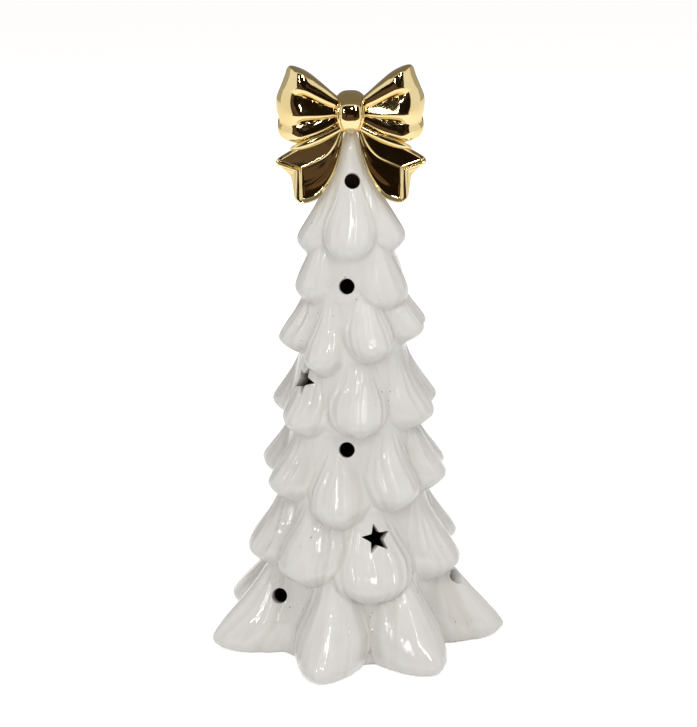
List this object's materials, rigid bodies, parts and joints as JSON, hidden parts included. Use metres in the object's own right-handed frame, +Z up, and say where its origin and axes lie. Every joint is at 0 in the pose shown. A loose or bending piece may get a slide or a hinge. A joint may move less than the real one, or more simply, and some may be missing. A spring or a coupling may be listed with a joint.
{
  "type": "led christmas tree",
  "caption": "Table-top glazed ceramic tree with drooping boughs, round and star light holes, a gilded bow on its tip and a plug-in battery light in its base.",
  "frame": {"origin": "middle of the footprint on the table", "axes": "+Z up along the tree, -Y out of its front, +X to the right seen from the front"},
  "size_m": [0.1374, 0.139, 0.2706],
  "materials": {
    "white_glaze": "glossy white glaze",
    "gilding": "mirror gold over glaze",
    "white_plastic": "satin moulded",
    "silicone": "matte translucent",
    "board": "green solder mask",
    "lens": "clear cast",
    "tinned_wire": "tinned",
    "black_resin": "cast resin",
    "black_plastic": "moulded",
    "nickel_plate": "nickel plated"
  },
  "bodies": {
    "tree": {"tree_body": "white_glaze", "bow": "gilding"},
    "light": {"light_housing": "white_plastic", "silicone_collar": "silicone", "housing_cover": "white_plastic", "circuit_board": "board", "led_lens": "lens", "led_lead_positive": "tinned_wire", "led_lead_negative": "tinned_wire", "resistor": "black_resin", "controller_chip": "black_resin", "switch_body": "black_plastic", "cell_1": "nickel_plate", "cell_2": "nickel_plate", "cell_3": "nickel_plate", "contact_coil": "nickel_plate", "coil_contact": "nickel_plate", "plate_contact": "nickel_plate", "cover_screw_1": "nickel_plate", "cover_screw_2": "nickel_plate"},
    "door": {"battery_door": "white_plastic", "door_screw": "nickel_plate"},
    "switch": {"switch_knob": "black_plastic"}
  },
  "joints": [
    {"name": "light_pull", "type": "slide", "parent": "tree", "child": "light", "axis": [0, 0, -1], "range_m": [0, 0.045]},
    {"name": "door_swing", "type": "hinge", "parent": "light", "child": "door", "pos_m": [-0.01357, 0.00579, 0.003], "axis": [0, 1, 0], "range_deg": [0, 75]},
    {"name": "switch_slide", "type": "slide", "parent": "light", "child": "switch", "axis": [1, 0, 0], "range_m": [0, 0.0022]}
  ]
}
